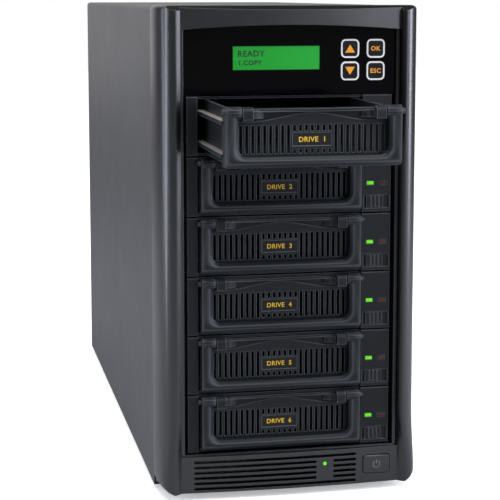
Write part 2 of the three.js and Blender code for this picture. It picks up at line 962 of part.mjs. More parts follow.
function bezel() {
  const front = -columnForward - overrun;
  const outer = alongZ(bezelSection(0), bezelBottom, bezelTop, curveSteps);
  const face = roundedRectangle(
    -bezelHalf,
    bezelHalf,
    bezelBottom,
    bezelTop,
    bezelBottomCorner,
    bezelTopCorner,
  );
  const side = new THREE.Shape();
  side.moveTo(bezelBack, bezelBottom);
  side.lineTo(bezelBack, bezelTop);
  side.lineTo(topRound - barForward, bezelTop);
  side.quadraticCurveTo(-columnForward, bezelTop, front, bezelTop - 2 * topRound);
  side.lineTo(front, bezelBottom);
  const ringTop = openingTop + archBow + moulding;
  const hollow = cut(
    alongZ(bezelSection(moulding), bezelBottom + moulding, bezelTop - moulding, curveSteps).intersect(
      alongY(
        roundedRectangle(
          -bezelHalf + moulding,
          bezelHalf - moulding,
          bezelBottom + moulding,
          bezelTop - moulding,
          bezelBottomCorner - moulding,
          gap,
        ),
        front,
        bezelBack + overrun,
        curveSteps,
      ),
    ),
    [block(-ringHalf, ringHalf, front, bezelBack + 2 * overrun, -moulding - gap, ringTop)],
  );
  const button = roundedRectangle(
    powerButtonX - powerButtonWidth / 2 - keySlack,
    powerButtonX + powerButtonWidth / 2 + keySlack,
    powerButtonZ - powerButtonHeight / 2 - keySlack,
    powerButtonZ + powerButtonHeight / 2 + keySlack,
    powerButtonCorner,
    powerButtonCorner,
  );
  return cut(
    outer
      .intersect(alongY(face, front, bezelBack, curveSteps))
      .intersect(alongX(side, -bezelHalf - overrun, bezelHalf + overrun, cornerSteps)),
    [
      hollow,
      alongY(openingOutline(openingHalf, -gap, 0), front, bezelBack + overrun, 1),
      alongY(openingOutline(ledgeHalf, -moulding / 2, 0), front, ledgeDepth - barForward, 1),
      alongY(button, front, bezelBack, cornerSteps),
      cylinderY(powerLightRadius + gap, front, bezelBack, powerLightX, powerLightZ, boreSides),
      ...louvres(),
    ],
  );
}

// How far the bowed bar stands forward at x
function barFace(x) {
  return -barForward - barBow + barBow * (x / ledgeHalf) ** 2;
}

function powerLight() {
  const front = barFace(powerLightX);
  const back = front + lightProud + moulding + 2 * gap;
  const profile = [
    [0, 0],
    [powerLightRadius * domeShare, 0],
    [powerLightRadius, lightProud * 2],
    [powerLightRadius, back - front],
    [powerLightRadius + moulding / 2, back - front],
    [powerLightRadius + moulding / 2, back - front + moulding],
    [0, back - front + moulding],
  ].map(([radius, depth]) => new THREE.Vector2(radius, depth));
  const geometry = new THREE.LatheGeometry(profile, boreSides);
  return solidOf(geometry.translate(powerLightX, front - lightProud, powerLightZ));
}

function powerButton() {
  const front = barFace(powerButtonX) - powerButtonProud;
  const wallBack = barFace(powerButtonX - powerButtonWidth / 2) + moulding;
  const rimFront = wallBack + gap + moulding;
  const cap = roundedRectangle(
    powerButtonX - powerButtonWidth / 2,
    powerButtonX + powerButtonWidth / 2,
    powerButtonZ - powerButtonHeight / 2,
    powerButtonZ + powerButtonHeight / 2,
    powerButtonCorner,
    powerButtonCorner,
  );
  const rim = block(
    powerButtonX - powerButtonWidth / 2 - 2 * keySlack,
    powerButtonX + powerButtonWidth / 2 + 2 * keySlack,
    rimFront,
    rimFront + keyFlange,
    powerButtonZ - powerButtonHeight / 2 - 2 * keySlack,
    powerButtonZ + powerButtonHeight / 2 + 2 * keySlack,
  );
  const stem = cylinderY(
    keyStemRadius,
    rimFront,
    rimFront + powerStem,
    powerButtonX,
    powerButtonZ,
    boreSides,
  );
  return joined([chamferedY(cap, front, rimFront + keyFlange, frontEdge, cornerSteps), rim, stem]);
}

// Control panel: a glossy plate that fills the top of the opening, with a display window and four key holes
function keyPlaces() {
  const low = racksTop + keyRow;
  return {
    up: [keyColumn, low + keyPitchZ],
    ok: [keyColumn + keyPitchX, low + keyPitchZ],
    down: [keyColumn, low],
    esc: [keyColumn + keyPitchX, low],
  };
}

function keyOutline(x, z, size, corner) {
  return roundedRectangle(x - size / 2, x + size / 2, z - size / 2, z + size / 2, corner, corner);
}

function controlPanel() {
  const outline = openingOutline(openingHalf - gap, racksTop + gap, gap);
  const windows = Object.values(keyPlaces()).map(([x, z]) =>
    alongY(
      keyOutline(x, z, keySize + 2 * keySlack, keyCorner),
      panelSetback - overrun,
      panelBack + overrun,
      cornerSteps,
    ),
  );
  const display = block(
    displayX - displayWidth / 2 - gap,
    displayX + displayWidth / 2 + gap,
    panelSetback - overrun,
    panelBack + overrun,
    displayZ - displayHeight / 2 - gap,
    displayZ + displayHeight / 2 + gap,
  );
  return cut(alongY(outline, panelSetback, panelBack, 1), [display, ...windows]);
}

function key([x, z]) {
  const flangeFrontFace = panelBack + gap;
  const cap = keyOutline(x, z, keySize, keyCorner);
  const flange = block(
    x - keySize / 2 - 2 * keySlack,
    x + keySize / 2 + 2 * keySlack,
    flangeFrontFace,
    flangeFrontFace + keyFlange,
    z - keySize / 2 - 2 * keySlack,
    z + keySize / 2 + 2 * keySlack,
  );
  const stem = cylinderY(
    keyStemRadius,
    flangeFrontFace,
    flangeFrontFace + keyStem,
    x,
    z,
    boreSides,
  );
  const face = alongY(cap, panelSetback - keyProud, flangeFrontFace + keyFlange, cornerSteps);
  return joined([face, flange, stem]);
}

// Display board: the circuit board behind the panel, with the display block and a switch behind each key
function displayBoard() {
  const board = block(
    displayX - displayWidth / 2 - displayBorder,
    cageInner - displayBoardMargin,
    displayBoardSetback,
    displayBoardSetback + boardThickness,
    shelfHigh + gap,
    cageTop - displayBoardMargin,
  );
  const frame = block(
    displayX - displayWidth / 2 - displayBorder,
    displayX + displayWidth / 2 + displayBorder,
    panelBack + gap,
    displayBoardSetback + boardThickness / 2,
    displayZ - displayHeight / 2 - displayBorder,
    displayZ + displayHeight / 2 + displayBorder,
  );
  const glass = block(
    displayX - displayWidth / 2,
    displayX + displayWidth / 2,
    panelSetback + displayRecess,
    displayBoardSetback,
    displayZ - displayHeight / 2,
    displayZ + displayHeight / 2,
  );
  const stemEnd = panelBack + gap + keyStem + keyTravel + gap;
  const switches = Object.values(keyPlaces()).map(([x, z]) =>
    block(
      x - switchSize / 2,
      x + switchSize / 2,
      stemEnd,
      displayBoardSetback + boardThickness / 2,
      z - switchSize / 2,
      z + switchSize / 2,
    ),
  );
  return joined([board, frame, glass, ...switches]);
}

// Controller board on four standoffs, with a row of drive sockets and its processor
function controllerBoard() {
  const low = shelfHigh + gap + standoff;
  const high = low + boardThickness;
  const back = controllerSetback + controllerLength;
  const half = controllerWidth / 2;
  const board = block(-half, half, controllerSetback, back, low, high);
  const posts = [-1, 1].flatMap((side) =>
    [controllerSetback + 2 * standoffRadius, back - 2 * standoffRadius].map((y) =>
      cylinderZ(standoffRadius, shelfHigh + gap, high, side * (half - 2 * standoffRadius), y, boreSides),
    ),
  );
  const sockets = Array.from({ length: socketCount }, (_, i) => {
    const x = (i - (socketCount - 1) / 2) * socketPitch;
    return block(
      x - socketWidth / 2,
      x + socketWidth / 2,
      back - 2 * socketDepth,
      back - socketDepth,
      high,
      high + socketHeight,
    );
  });
  const middle = controllerSetback + controllerLength / 2;
  const chip = block(
    -chipSize / 2,
    chipSize / 2,
    middle - chipSize / 2,
    middle + chipSize / 2,
    high,
    high + chipHeight,
  );
  return joined([board, ...posts, ...sockets, chip]);
}

// Cover: one sheet over the left side, top and right side, turned in under the pan
function outerCover() {
  const wrap = (inset, low, radius) =>
    roundedRectangle(-coverHalf + inset, coverHalf - inset, low, coverTop - inset, 0, radius);
  const shell = alongY(wrap(0, coverBottom, coverCorner), coverSetback, coverBack, arcSteps);
  const inside = alongY(
    wrap(sheet, coverBottom + sheet, coverCorner - sheet),
    coverSetback - overrun,
    coverBack + overrun,
    arcSteps,
  );
  const mouth = block(
    coverFlange - coverHalf,
    coverHalf - coverFlange,
    coverSetback - overrun,
    coverBack + overrun,
    coverBottom - overrun,
    coverBottom + 2 * sheet,
  );
  return cut(shell, [inside, mouth]);
}

// Base pan: a folded channel inside the cover
function basePan() {
  const low = coverBottom + sheet + gap;
  const channel = polygon([
    [-panHalf, low],
    [panHalf, low],
    [panHalf, low + panHeight],
    [panHalf - sheet, low + panHeight],
    [panHalf - sheet, panTop],
    [sheet - panHalf, panTop],
    [sheet - panHalf, low + panHeight],
    [-panHalf, low + panHeight],
  ]);
  return alongY(channel, coverSetback + sheet, rearInside - gap, 1);
}

// Drive cage: one sheet frame round the racks, with a shelf for the controller and legs to the pan
function driveCage() {
  const rackFloor = sleeveLow - gap;
  const bay = (low, high) =>
    block(-cageInner, cageInner, cageFront - overrun, cageBack + overrun, low, high);
  const body = block(-cageOuter, cageOuter, cageFront, cageBack, panTop + gap, cageTop + sheet);
  return cut(body, [
    bay(panTop + gap + sheet, rackFloor - sheet),
    bay(rackFloor, shelfLow),
    bay(shelfHigh, cageTop),
  ]);
}

// Rings of slots, cut in quarters, round a solid hub
function fanGrille(x, z, radius, y0, y1) {
  const cutters = [];
  const band = (radius - grilleHub) / grilleRings;
  for (let ring = 0; ring < grilleRings; ring += 1) {
    const inner = grilleHub + ring * band + grilleWeb / 2;
    const outer = grilleHub + (ring + 1) * band - grilleWeb / 2;
    for (let quarter = 0; quarter < grilleQuarters; quarter += 1) {
      const turn = (2 * Math.PI) / grilleQuarters;
      const start = quarter * turn + grilleWeb / inner;
      const end = (quarter + 1) * turn - grilleWeb / inner;
      const slot = new THREE.Shape();
      slot.absarc(x, z, outer, start, end, false);
      slot.absarc(x, z, inner, end, start, true);
      cutters.push(alongY(slot, y0, y1, cornerSteps));
    }
  }
  return cutters;
}

// Rear panel: flat sheet with the power supply's window and the fan's grille
function rearPanel() {
  const face = roundedRectangle(
    -panHalf,
    panHalf,
    coverBottom + sheet + gap,
    coverTop - sheet - gap,
    0,
    coverCorner - sheet,
  );
  const plate = alongY(face, rearInside, rearFace, arcSteps);
  const opening = block(
    moulding - supplyHalf,
    supplyHalf - moulding,
    rearInside - overrun,
    rearFace + overrun,
    supplyLow + moulding,
    supplyHigh - moulding,
  );
  const vents = Array.from({ length: rearVentCount }, (_, i) => {
    const x = (i - (rearVentCount - 1) / 2) * rearVentPitch;
    return block(
      x - rearVentWidth / 2,
      x + rearVentWidth / 2,
      rearInside - overrun,
      rearFace + overrun,
      rearVentLow,
      rearVentLow + rearVentHeight,
    );
  });
  const grille = fanGrille(0, fanRise, fanRadius, rearInside - overrun, rearFace + overrun);
  return cut(plate, [opening, ...vents, ...grille]);
}

// A rotor: a cup with a bore for its post, and twisted blades
function rotor(tipRadius, length) {
  const hub = new THREE.LatheGeometry(
    [
      [postRadius + postSlack, 0],
      [hubRadius, 0],
      [hubRadius, length * hubRoundShare],
      [hubRadius * hubRoundShare, length],
      [0, length],
      [0, length * boreShare],
      [postRadius + postSlack, length * boreShare],
      [postRadius + postSlack, 0],
    ].map(([radius, y]) => new THREE.Vector2(radius, y)),
    roundSides,
  );
  const blades = Array.from({ length: bladeCount }, (_, i) => {
    const reach = tipRadius - hubRadius * hubOverlapShare;
    const width = length * bladeWidthShare;
    const blade = new THREE.BoxGeometry(reach, width, bladeThickness);
    blade.rotateX(bladePitchAngle);
    blade.translate(hubRadius * hubOverlapShare + reach / 2, length / 2, 0);
    return solidOf(blade.rotateY((2 * Math.PI * i) / bladeCount));
  });
  return joined([solidOf(hub), ...blades]);
}

// Rear fan frame: a square body with a round duct, and a motor plate on four struts with the rotor's post
function rearFanFrame() {
  const back = rearInside - gap;
  const front = back - fanThickness;
  const half = fanSize / 2;
  const shape = roundedRectangle(
    -half,
    half,
    fanRise - half,
    fanRise + half,
    fanCorner,
    fanCorner,
  );
  const body = cut(alongY(shape, front, back, cornerSteps), [
    cylinderY(fanRadius, front - overrun, back + overrun, 0, fanRise, wideSides),
  ]);
  const plate = cylinderY(hubRadius, front, front + motorThickness, 0, fanRise, roundSides);
  const postEnd = front + motorThickness + postLength(hubLength);
  const post = cylinderY(postRadius, front, postEnd, 0, fanRise, boreSides);
  const struts = Array.from({ length: strutCount }, (_, i) => {
    const strut = new THREE.BoxGeometry(fanRadius, motorThickness, strutWidth);
    strut.translate((fanRadius + hubRadius) / 2, front + motorThickness / 2, 0);
    strut.rotateY((2 * Math.PI * (i + 1 / 2)) / strutCount);
    return solidOf(strut.translate(0, 0, fanRise));
  });
  const square = alongY(shape, front, back, cornerSteps);
  return joined([body, joined([plate, post, ...struts]).intersect(square)]);
}

function postLength(length) {
  return length * boreShare - gap;
}

// Power supply: a hollow box with a fan grille, an inlet window and a switch window at the back
function powerSupply() {
  const front = supplyBack - supplyLength;
  const shell = block(-supplyHalf, supplyHalf, front, supplyBack, supplyLow, supplyHigh);
  const hollow = block(
    supplyWall - supplyHalf,
    supplyHalf - supplyWall,
    front + supplyWall,
    supplyBack - supplyWall,
    supplyLow + supplyWall,
    supplyHigh - supplyWall,
  );
  const inletZ = supplyLow + inletRise;
  const rockerZ = supplyLow + rockerRise;
  const rockerCase = block(
    inletX - rockerWidth / 2 - rockerRim,
    inletX + rockerWidth / 2 + rockerRim,
    supplyBack - rockerDepth,
    supplyBack + rockerRim,
    rockerZ - rockerHeight / 2 - rockerRim,
    rockerZ + rockerHeight / 2 + rockerRim,
  );
  const rockerWell = block(
    inletX - rockerWidth / 2,
    inletX + rockerWidth / 2,
    supplyBack - rockerDepth + rockerSlack,
    supplyBack + rockerRim + overrun,
    rockerZ - rockerHeight / 2,
    rockerZ + rockerHeight / 2,
  );
  const axleHole = cylinderX(
    rockerAxle + stubSlack,
    inletX - rockerWidth / 2 - rockerRim / 2,
    inletX + rockerWidth / 2 + rockerRim / 2,
    supplyBack - rockerAxle,
    rockerZ,
    boreSides,
  );
  const inletWindow = block(
    inletX - inletWidth / 2,
    inletX + inletWidth / 2,
    supplyBack - overrun,
    supplyBack + overrun,
    inletZ - inletHeight / 2,
    inletZ + inletHeight / 2,
  );
  const post = cylinderY(
    postRadius,
    supplyBack - supplyWall - motorThickness - postLength(hubLength),
    supplyBack,
    supplyFanX,
    supplyMiddle,
    boreSides,
  );
  const boss = cylinderY(
    grilleHub,
    supplyBack - supplyWall - motorThickness,
    supplyBack,
    supplyFanX,
    supplyMiddle,
    roundSides,
  );
  const grille = fanGrille(
    supplyFanX,
    supplyMiddle,
    supplyFanRadius,
    supplyBack - overrun,
    supplyBack + overrun,
  );
  const box = cut(shell, [hollow, ...grille, inletWindow]);
  return cut(joined([box, rockerCase, post, boss]), [rockerWell, axleHole]);
}

// Mains inlet: a flanged shell with three blade pins
function mainsInlet() {
  const z = supplyLow + inletRise;
  const halfX = inletWidth / 2 - gap;
  const halfZ = inletHeight / 2 - gap;
  const front = supplyBack - inletDepth;
  const back = supplyBack + gap + inletFlangeThickness;
  const bodyShape = roundedRectangle(inletX - halfX, inletX + halfX, z - halfZ, z + halfZ, gap, gap);
  const flange = block(
    inletX - halfX - inletFlange,
    inletX + halfX + inletFlange,
    supplyBack + gap,
    back,
    z - halfZ - inletFlange,
    z + halfZ + inletFlange,
  );
  const chamfer = halfX / 3;
  const recess = polygon([
    [inletX - halfX + inletWall, z - halfZ + inletWall],
    [inletX + halfX - inletWall, z - halfZ + inletWall],
    [inletX + halfX - inletWall, z + halfZ - inletWall - chamfer],
    [inletX + halfX - inletWall - chamfer, z + halfZ - inletWall],
    [inletX - halfX + inletWall + chamfer, z + halfZ - inletWall],
    [inletX - halfX + inletWall, z + halfZ - inletWall - chamfer],
  ]);
  const pins = [
    [-pinSpread, -pinOffset],
    [0, pinOffset],
    [pinSpread, -pinOffset],
  ].map(([dx, dz]) =>
    block(
      inletX + dx - pinWidth / 2,
      inletX + dx + pinWidth / 2,
      front,
      front + inletFloor + pinLength,
      z + dz - pinHeight / 2,
      z + dz + pinHeight / 2,
    ),
  );
  const shell = cut(joined([alongY(bodyShape, front, back, 1), flange]), [
    alongY(recess, front + inletFloor, back + overrun, 1),
  ]);
  return joined([shell, ...pins]);
}

// Rocker: a bowed paddle on an axle, tipped to its on side
function mainsSwitch() {
  const z = supplyLow + rockerRise;
  const axisY = supplyBack - rockerAxle;
  const halfZ = rockerHeight / 2 - rockerSlack * 3;
  const halfX = rockerWidth / 2 - rockerSlack;
  const face = rockerAxle + rockerRim;
  const paddle = new THREE.Shape();
  paddle.moveTo(-rockerAxle, -halfZ);
  paddle.lineTo(face + rockerBow, -halfZ);
  paddle.quadraticCurveTo(face - rockerBow, 0, face + rockerBow, halfZ);
  paddle.lineTo(-rockerAxle, halfZ);
  const geometry = new THREE.ExtrudeGeometry(paddle, {
    depth: 2 * halfX,
    bevelEnabled: false,
    curveSegments: curveSteps,
  });
  geometry.rotateX(Math.PI / 2).rotateZ(Math.PI / 2).translate(-halfX, 0, 0);
  geometry.rotateX(THREE.MathUtils.degToRad(rockerTilt)).translate(inletX, axisY, z);
  const reach = rockerWidth / 2 + rockerRim / 2 - rockerSlack / 2;
  const axle = cylinderX(rockerAxle, inletX - reach, inletX + reach, axisY, z, boreSides);
  return joined([solidOf(geometry), axle]);
}

// Rubber foot: a short tapered cone
function foot() {
  const top = footHeight + sheet;
  const profile = [
    [0, 0],
    [footRadius - footTaper, 0],
    [footRadius, top],
    [0, top],
  ].map(([radius, height]) => new THREE.Vector2(radius, height));
  return new THREE.LatheGeometry(profile, roundSides).rotateX(Math.PI / 2);
}

// The assembly
const cabinet = new THREE.Group();
cabinet.position.set(0, -outlineMiddle, -footBottom);

cabinet.add(
  part("outer_cover", geometryOf(outerCover()), "paint"),
  part("base_pan", geometryOf(basePan()), "steel"),
  part("rear_panel", geometryOf(rearPanel()), "paint"),
  part("drive_cage", geometryOf(driveCage()), "steel"),
  part("front_bezel", geometryOf(bezel()), "moulded"),
  part("control_panel", geometryOf(controlPanel()), "gloss"),
  part("display_board", geometryOf(displayBoard()), "display"),
  part("controller_board", geometryOf(controllerBoard()), "board"),
  part("power_light", geometryOf(powerLight()), "lens"),
  part("power_button", geometryOf(powerButton()), "moulded"),
  part("power_supply", geometryOf(powerSupply()), "steel"),
  part("mains_inlet", geometryOf(mainsInlet()), "rack"),
  part("mains_switch", geometryOf(mainsSwitch()), "rack"),
  part("rear_fan_frame", geometryOf(rearFanFrame()), "rack"),
);

for (const [name, place] of Object.entries(keyPlaces())) {
  cabinet.add(part("key_" + name, geometryOf(key(place)), "key"));
}

const rearRotor = part("rear_fan_rotor", geometryOf(rotor(fanRadius - bladeTipGap, hubLength)), "rack");
rearRotor.position.set(0, rearInside - gap - fanThickness + motorThickness + gap, fanRise);
const supplyRotor = part(
  "supply_fan_rotor",
  geometryOf(rotor(supplyFanRadius - bladeTipGap, hubLength)),
  "rack",
);
supplyRotor.rotation.z = Math.PI;
supplyRotor.position.set(supplyFanX, supplyBack - supplyWall - motorThickness - gap, supplyMiddle);
cabinet.add(rearRotor, supplyRotor);

const footGeometry = foot();
const footPlaces = {
  front_left: [footInset - coverHalf, coverSetback + footEndInset],
  front_right: [coverHalf - footInset, coverSetback + footEndInset],
  rear_left: [footInset - coverHalf, coverBack - footEndInset],
  rear_right: [coverHalf - footInset, coverBack - footEndInset],
};
for (const [name, [x, y]] of Object.entries(footPlaces)) {
  const piece = part("foot_" + name, footGeometry, "rubber");
  piece.position.set(x, y, footBottom);
  cabinet.add(piece);
}

const rackParts = {
  rack_sleeve: [geometryOf(rackSleeve()), "rack"],
  rack_board: [geometryOf(rackBoard()), "board"],
  light_pipe: [geometryOf(lightPipe()), "lens"],
  lock_knob: [geometryOf(lockKnob()), "rack"],
};
const trayParts = {
  tray: [geometryOf(tray()), "rack"],
  handle: [geometryOf(handle()), "rack"],
};
for (let n = 1; n <= rackCount; n += 1) {
  const rack = new THREE.Group();
  rack.position.z = (rackCount - n) * rackPitch;
  const carrier = new THREE.Group();
  carrier.position.y = n === 1 ? -trayOpenBy : 0;
  for (const [name, [geometry, finish]] of Object.entries(rackParts)) {
    rack.add(part(name + "_" + n, geometry, finish));
  }
  for (const [name, [geometry, finish]] of Object.entries(trayParts)) {
    carrier.add(part(name + "_" + n, geometry, finish));
  }
  rack.add(carrier);
  cabinet.add(rack);
}

export default cabinet;
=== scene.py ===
"""The looks of the hard drive duplicator: a finish for every solid, smooth and rounded copies of the curved ones,
and the printing, screws and tray runners that are too fine for the solids. Lengths are in metres."""

import json
import math

import bmesh
import bpy
from mathutils import Matrix, Vector

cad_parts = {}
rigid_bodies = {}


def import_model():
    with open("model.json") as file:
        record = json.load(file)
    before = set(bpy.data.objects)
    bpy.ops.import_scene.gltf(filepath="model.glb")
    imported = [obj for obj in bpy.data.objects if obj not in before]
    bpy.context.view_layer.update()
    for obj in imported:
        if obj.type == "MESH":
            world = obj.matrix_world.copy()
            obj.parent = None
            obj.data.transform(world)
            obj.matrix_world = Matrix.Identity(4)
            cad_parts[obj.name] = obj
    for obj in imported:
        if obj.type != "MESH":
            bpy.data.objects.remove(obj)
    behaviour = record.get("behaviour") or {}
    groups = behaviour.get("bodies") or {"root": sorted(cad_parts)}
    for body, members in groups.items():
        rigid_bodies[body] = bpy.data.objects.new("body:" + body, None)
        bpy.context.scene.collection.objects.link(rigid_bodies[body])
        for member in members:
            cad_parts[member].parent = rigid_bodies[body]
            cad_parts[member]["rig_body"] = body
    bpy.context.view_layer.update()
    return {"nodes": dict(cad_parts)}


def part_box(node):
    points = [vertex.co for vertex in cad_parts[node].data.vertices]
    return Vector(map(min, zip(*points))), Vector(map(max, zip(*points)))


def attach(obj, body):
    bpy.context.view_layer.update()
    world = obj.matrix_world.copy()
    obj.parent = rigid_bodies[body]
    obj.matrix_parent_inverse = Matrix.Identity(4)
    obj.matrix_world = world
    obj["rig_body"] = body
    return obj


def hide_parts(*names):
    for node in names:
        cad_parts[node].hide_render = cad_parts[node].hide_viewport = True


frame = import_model()
nodes = frame["nodes"]

MM = 0.001
RACKS = range(1, 7)
INK = 0.03 * MM  # thickness of a printed layer
WHITE = (1.0, 1.0, 1.0, 1.0)

# The lit window, set in by the same border from the left and the top of the display board
DISPLAY_BORDER = 7 * MM
DISPLAY_WIDTH = 61.8 * MM
DISPLAY_HEIGHT = 16.3 * MM
DISPLAY_DEPTH = 2.0 * MM
DISPLAY_GLOW = 0.37
LENS_GLOW = 0.1  # the least glow of a lit lens

# Painted highlight along moulded edges, standing in for the light their rounding catches: how far it reaches, how
# strong it gets, and the match between the rounded and the flat normal at which it begins and is full
EDGE_HIGHLIGHT_REACH = 0.7 * MM
EDGE_HIGHLIGHT_MOST = 0.75
EDGE_HIGHLIGHT_BEGINS = 0.995
EDGE_HIGHLIGHT_FULL = 0.87

# The sweep of the bezel's columns. What has no unit is a count, a share or an exponent
SWEEP_CUTS = 12
SWEEP_WIDTH = 15.7 * MM
SWEEP_FULLNESS = 2.5
CORNER_START = 0.79
CORNER_DROP = 0.287
FRONT_FLATTENING = 3.0
FLATTENING_ONSET = 4
FOOT_SHARE = 0.44
FOOT_POWER = 2.5
CHIN_FOOT = 12 * MM
CHIN_TOP = 62 * MM
CHIN_CUTS = 8

# Smooth copies
SHARP = math.radians(38.0)
FLAT = math.radians(0.5)
WELD = 0.002 * MM
CUT_SNAP = 0.001 * MM
HANDLE_ROUNDING = 0.45 * MM

# The floor glows for the camera alone, and more from NEAR to FAR. BOUNCE and FILL are what matt surfaces get of
# floor and room, and GLOSS is what shiny ones mirror
FLOOR_HALF = 6.0
FLOOR_LIFT, FLOOR_LIFT_FAR = 0.37, 0.8
FLOOR_NEAR, FLOOR_FAR = 0.5, 1.6
FLOOR_BOUNCE = (0.4, 0.4, 0.41, 1)
FLOOR_GLOSS = (0.55, 0.55, 0.57, 1)
ROOM_FILL = (0.38, 0.38, 0.39, 1)
ROOM_GLOSS = ((-0.3, 0.2), (0.15, 0.05), (0.8, 0.05), (0.985, 1.0))  # direction's Y from -1 in front to 1, and level
COOL = (0.84, 0.88, 1.0)

# The camera, fitted to a picture 500 pixels wide
PICTURE_WIDTH = 500
FOCAL_PIXELS = 1540.2
SENSOR_WIDTH = 36
CAMERA_PLACE = (-0.2431, -1.2433, 0.3581)
CAMERA_PITCH = 7.255
CAMERA_YAW = 11.511
CAMERA_SHIFT = -0.12


# Finishes

# A Mix node's colour sockets share their names with its number sockets, so they go by their index.
MIX_A, MIX_B, MIX_RESULT = 6, 7, 2


def linear(code):
    """An sRGB hex colour as the linear RGBA that the shaders take."""
    parts = [int(code[i:i + 2], 16) / 255 for i in (1, 3, 5)]
    return tuple(c / 12.92 if c <= 0.04045 else ((c + 0.055) / 1.055) ** 2.4 for c in parts) + (1.0,)


def add(tree, kind, inputs=None, **settings):
    """Adds a node with its settings, and fills its inputs with numbers, colours or links."""
    node = tree.nodes.new(kind)
    for key, value in settings.items():
        setattr(node, key, value)
    for key, value in (inputs or {}).items():
        if isinstance(value, bpy.types.NodeSocket):
            tree.links.new(value, node.inputs[key])
        else:
            node.inputs[key].default_value = value
    return node


def finish(name):
    """A new material and its tree, emptied but for its output."""
    material = bpy.data.materials.new(name)
    material.use_nodes = True
    tree = material.node_tree
    tree.nodes.clear()
    tree.nodes.new("ShaderNodeOutputMaterial")
    return material, tree


def close(tree, shader):
    """Makes a shader the surface of its material."""
    tree.links.new(shader.outputs[0], tree.nodes["Material Output"].inputs["Surface"])


def place_of(tree):
    """The place of a point in its object's own coordinates."""
    return add(tree, "ShaderNodeTexCoord").outputs["Object"]


def parts_of(tree, place):
    """A place's X, Y and Z."""
    return add(tree, "ShaderNodeSeparateXYZ", {"Vector": place}).outputs


def reckon(tree, operation, *values):
    """The result of a Math node."""
    return add(tree, "ShaderNodeMath", dict(enumerate(values)), operation=operation).outputs[0]


def noise(tree, place, size, detail=2.0, roughness=0.5):
    """Noise with features of about the given size."""
    inputs = {"Vector": place, "Scale": 1 / size, "Detail": detail, "Roughness": roughness}
    return add(tree, "ShaderNodeTexNoise", inputs).outputs["Fac"]


def blend(tree, share, first, second):
    """The first colour, mixed with the given share of the second. Each is a hex code, an RGBA value or a link."""
    first, second = (linear(colour) if isinstance(colour, str) else colour for colour in (first, second))
    mix = add(tree, "ShaderNodeMix", {"Factor": share, MIX_A: first, MIX_B: second}, data_type="RGBA")
    return mix.outputs[MIX_RESULT]


def mottle(tree, low, high, size):
    """A colour that drifts softly between two tones over patches of the given size."""
    return blend(tree, noise(tree, place_of(tree), size, 3.0, 0.6), low, high)


def relief(tree, height, depth, rounding):
    """A normal that follows a height, with edges softened by rounding."""
    edge = add(tree, "ShaderNodeBevel", {"Radius": rounding}, samples=4)
    bump = add(tree, "ShaderNodeBump",
               {"Height": height, "Distance": depth, "Strength": 1.0, "Normal": edge.outputs["Normal"]})
    return bump.outputs["Normal"]


def grain(tree, size, depth, rounding):
    """Surface relief of the given grain size and depth, with softened edges."""
    return relief(tree, noise(tree, place_of(tree), size), depth, rounding)


def gloss_range(tree, low, high, size):
    """A roughness that wanders between two values over patches of the given size, as handled plastic's does."""
    wander = noise(tree, place_of(tree), size, 4.0, 0.65)
    return add(tree, "ShaderNodeMapRange", {"Value": wander, "To Min": low, "To Max": high}).outputs["Result"]


def painted_edge_highlight(tree, colour, code):
    """Lightens a colour along edges: a painted highlight that stands in for the light that rounded moulded edges
    catch.
    """
    edge = add(tree, "ShaderNodeBevel", {"Radius": EDGE_HIGHLIGHT_REACH}, samples=6)
    flat = add(tree, "ShaderNodeNewGeometry")
    match = add(tree, "ShaderNodeVectorMath", {0: edge.outputs["Normal"], 1: flat.outputs["True Normal"]},
                operation="DOT_PRODUCT")
    highlight_share = add(tree, "ShaderNodeMapRange", {"Value": match.outputs["Value"], "From Min": EDGE_HIGHLIGHT_BEGINS,
                                            "From Max": EDGE_HIGHLIGHT_FULL, "To Min": 0.0, "To Max": EDGE_HIGHLIGHT_MOST})
    return blend(tree, highlight_share.outputs["Result"], colour, code)


def moulded_abs(name, low, high, rough, level, pebble, depth, rounding, highlight_tone=None):
    """ABS from a spark-eroded mould: even colour, a fine pebble that breaks up the highlights, soft edges."""
    material, tree = finish(name)
    colour = mottle(tree, low, high, 60 * MM)
    # Where a tone is given, a painted highlight lightens the edges.
    if highlight_tone:
        colour = painted_edge_highlight(tree, colour, highlight_tone)
    close(tree, add(tree, "ShaderNodeBsdfPrincipled", {
        "Base Color": colour,
        "Roughness": gloss_range(tree, rough - 0.05, rough + 0.07, 25 * MM),
        "Specular IOR Level": level,
        "IOR": 1.54,
        "Normal": grain(tree, pebble, depth, rounding),
    }))
    return material


def powder_coat(name):
    """Powder-coated steel sheet: charcoal with a fine orange peel that spreads the light along the side."""
    material, tree = finish(name)
    close(tree, add(tree, "ShaderNodeBsdfPrincipled", {
        "Base Color": mottle(tree, "#3c3c3f", "#434346", 90 * MM),
        "Roughness": gloss_range(tree, 0.4, 0.48, 40 * MM),
        "Specular IOR Level": 0.3,
        "IOR": 1.5,
        "Normal": grain(tree, 1.4 * MM, 0.03 * MM, 0.5 * MM),
    }))
    return material


def zinc_sheet(name, low="#a9abad", high="#c2c4c6", metal=1.0):
    """Zinc-plated steel: a faint drift of tone, and fine rolling marks along Y."""
    material, tree = finish(name)
    stretch = add(tree, "ShaderNodeMapping", {"Vector": place_of(tree), "Scale": (1.0, 0.05, 1.0)})
    marks = noise(tree, stretch.outputs["Vector"], 0.8 * MM, 3.0)
    close(tree, add(tree, "ShaderNodeBsdfPrincipled", {
        "Base Color": mottle(tree, low, high, 18 * MM),
        "Metallic": metal,
        "Roughness": gloss_range(tree, 0.3, 0.42, 12 * MM),
        "Normal": relief(tree, marks, 0.01 * MM, 0.2 * MM),
    }))
    return material


